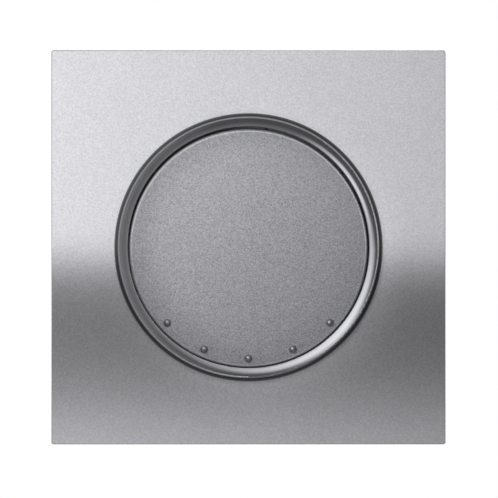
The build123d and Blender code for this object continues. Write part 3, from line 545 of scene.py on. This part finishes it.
def light_world():
    """White behind the switch and in its reflections, and a plain grey fill on it."""
    world = bpy.data.worlds.new("studio")
    bpy.context.scene.world = world
    world.use_nodes = True
    sky = Nodes(world.node_tree)
    background = world.node_tree.nodes["Background"]
    rays = ("Is Camera Ray", "Is Glossy Ray", "Is Transmission Ray")
    seen = sum(sky.node("ShaderNodeLightPath", output=kind) for kind in rays)
    inputs = {"Value": seen, "To Min": WORLD_FILL, "To Max": 1.0}
    sky.feed(background.inputs["Strength"], sky.node("ShaderNodeMapRange", inputs=inputs))
    background.inputs["Color"].default_value = grey(1.0)


def stage_sheet(name, shape, material):
    """A sheet of the studio, which is no piece of the switch."""
    mesh = bpy.data.meshes.new(name)
    shape.to_mesh(mesh)
    shape.free()
    mesh.materials.append(material)
    sheet = bpy.data.objects.new(name, mesh)
    bpy.context.scene.collection.objects.link(sheet)
    return sheet


def lay_floor():
    """Plain pale floor below the switch."""
    finish = Finish("floor_paper", Roughness=0.9)
    finish.set("Base Color", finish.tint(finish.noise(40 * MM), grey(0.78), grey(0.82)))
    level = CAD_BOX[0][2] - FLOOR_DROP
    half = FLOOR_HALF_WIDTH
    corners = [(-half, -half, level), (half, -half, level), (half, half, level), (-half, half, level)]
    floor = bmesh.new()
    floor.faces.new([floor.verts.new(corner) for corner in corners])
    stage_sheet("floor", floor, finish.material)


def stage_card(name, shape, glow):
    """A card that only shiny surfaces see. Its glow is a level, or a function of its nodes."""
    material = bpy.data.materials.new(name)
    material.use_nodes = True
    material.cycles.emission_sampling = "NONE"
    card = Nodes(material.node_tree)
    card.tree.nodes.clear()
    strength = glow(card) if callable(glow) else glow
    output = card.tree.nodes.new("ShaderNodeOutputMaterial")
    card.feed(output.inputs["Surface"], card.node("ShaderNodeEmission", inputs={"Strength": strength}))
    sheet = stage_sheet(name, shape, material)
    for kind in ("camera", "diffuse", "shadow", "transmission", "volume_scatter"):
        setattr(sheet, "visible_" + kind, False)


def before_plate(distance):
    """Turns a flat shape towards the switch, at a distance before its plate."""
    place = Matrix.Translation((PLATE_MIDDLE.x, PLATE_FRONT - distance, PLATE_MIDDLE.z))
    return place @ Matrix.Rotation(math.radians(90), 4, "X")


def make_band(*circles):
    """A band between two circles that face the switch, as radii and distances before the plate."""
    band = bmesh.new()
    for radius, distance in circles:
        bmesh.ops.create_circle(band, segments=CIRCLE_CORNERS, radius=radius, matrix=before_plate(distance))
    bmesh.ops.bridge_loops(band, edges=band.edges[:])
    return band


def plate_card_glow(card):
    """Bright above the plate's middle, dark just below it, and less to the right."""
    place = card.node("ShaderNodeTexCoord", output="Object")
    height = card.node("ShaderNodeSeparateXYZ", inputs={"Vector": place}, output="Z")
    across = card.node("ShaderNodeSeparateXYZ", inputs={"Vector": place}, output="X")
    stops = [(0.5 + up * MM / PLATE_WIDTH, grey(level)) for up, level in CARD_LEVELS]
    share = 0.5 + (height - PLATE_MIDDLE.z) * (1 / PLATE_WIDTH)
    level = card.node("ShaderNodeValToRGB", {"stops": stops}, {"Fac": share})
    return level * (1.0 - CARD_SIDE_FALL * (0.5 + across * (1 / PLATE_WIDTH)))


def glow_spot(card, place, across, up, radius, level):
    """A soft round glow on the front card."""
    middle = PLATE_MIDDLE + Vector((across * MM, 0, up * MM))
    middle.y = PLATE_FRONT - FRONT_DISTANCE
    away = card.node("ShaderNodeVectorMath", {"operation": "DISTANCE"}, {0: place, 1: middle}, "Value")
    inputs = {"Value": away, "From Max": radius * MM, "To Min": level, "To Max": 0.0}
    return card.node("ShaderNodeMapRange", {"interpolation_type": "SMOOTHSTEP"}, inputs)


def front_glow(card):
    """Dim walls to the left and pale ones to the right, and the glows before them."""
    place = card.node("ShaderNodeTexCoord", output="Object")
    across = card.node("ShaderNodeSeparateXYZ", inputs={"Vector": place}, output="X")
    limits = {"From Min": WALL_LEFT, "From Max": WALL_RIGHT}
    levels = {"To Min": WALL_LEFT_LEVEL, "To Max": WALL_RIGHT_LEVEL}
    glow = card.node("ShaderNodeMapRange", inputs={"Value": across, **limits, **levels})
    for spot in FRONT_GLOWS.values():
        glow = glow + glow_spot(card, place, *spot)
    return glow


def place_cards():
    """A graded card over the plate, open before the rocker, a dark hoop round it and a large front card."""
    plate_card = make_band((CARD_HOLE_RADIUS, CARD_DISTANCE), (CARD_RADIUS, CARD_DISTANCE))
    stage_card("plate_card", plate_card, plate_card_glow)
    hoop = make_band((HOOP_RADIUS, -HOOP_BACK), (HOOP_RADIUS, CARD_DISTANCE))
    stage_card("dark_hoop", hoop, HOOP_LEVEL)
    front = bmesh.new()
    facing = before_plate(FRONT_DISTANCE)
    bmesh.ops.create_grid(front, x_segments=1, y_segments=1, size=FRONT_WIDTH / 2, matrix=facing)
    stage_card("front_card", front, front_glow)


def place_lamp(name, place, width, level):
    """A square soft box that is turned towards the plate's middle."""
    data = bpy.data.lights.new(name, "AREA")
    data.shape = "SQUARE"
    data.size = width
    data.energy = level * math.pi * width ** 2
    lamp = bpy.data.objects.new(name, data)
    turn = (PLATE_MIDDLE - place).to_track_quat("-Z", "Y").to_matrix().to_4x4()
    lamp.matrix_world = Matrix.Translation(place) @ turn
    lamp.visible_camera = False
    bpy.context.scene.collection.objects.link(lamp)
    return lamp


def place_lamps():
    """A lamp at the upper left, which shiny surfaces see only on the front card, and one behind."""
    key_lamp = place_lamp("key_lamp", KEY_LAMP_PLACE, KEY_LAMP_WIDTH, KEY_LAMP_LEVEL)
    key_lamp.visible_glossy = False
    place_lamp("back_lamp", BACK_LAMP_PLACE, BACK_LAMP_WIDTH, BACK_LAMP_LEVEL)


dress_nodes()
for side in ("right", "left"):
    make_claw_screw(side)
    for height in ("upper", "lower"):
        make_clamp_springs(height, side)
place_camera()
light_world()
lay_floor()
place_cards()
place_lamps()

bpy.context.scene.view_settings.view_transform = "Standard"
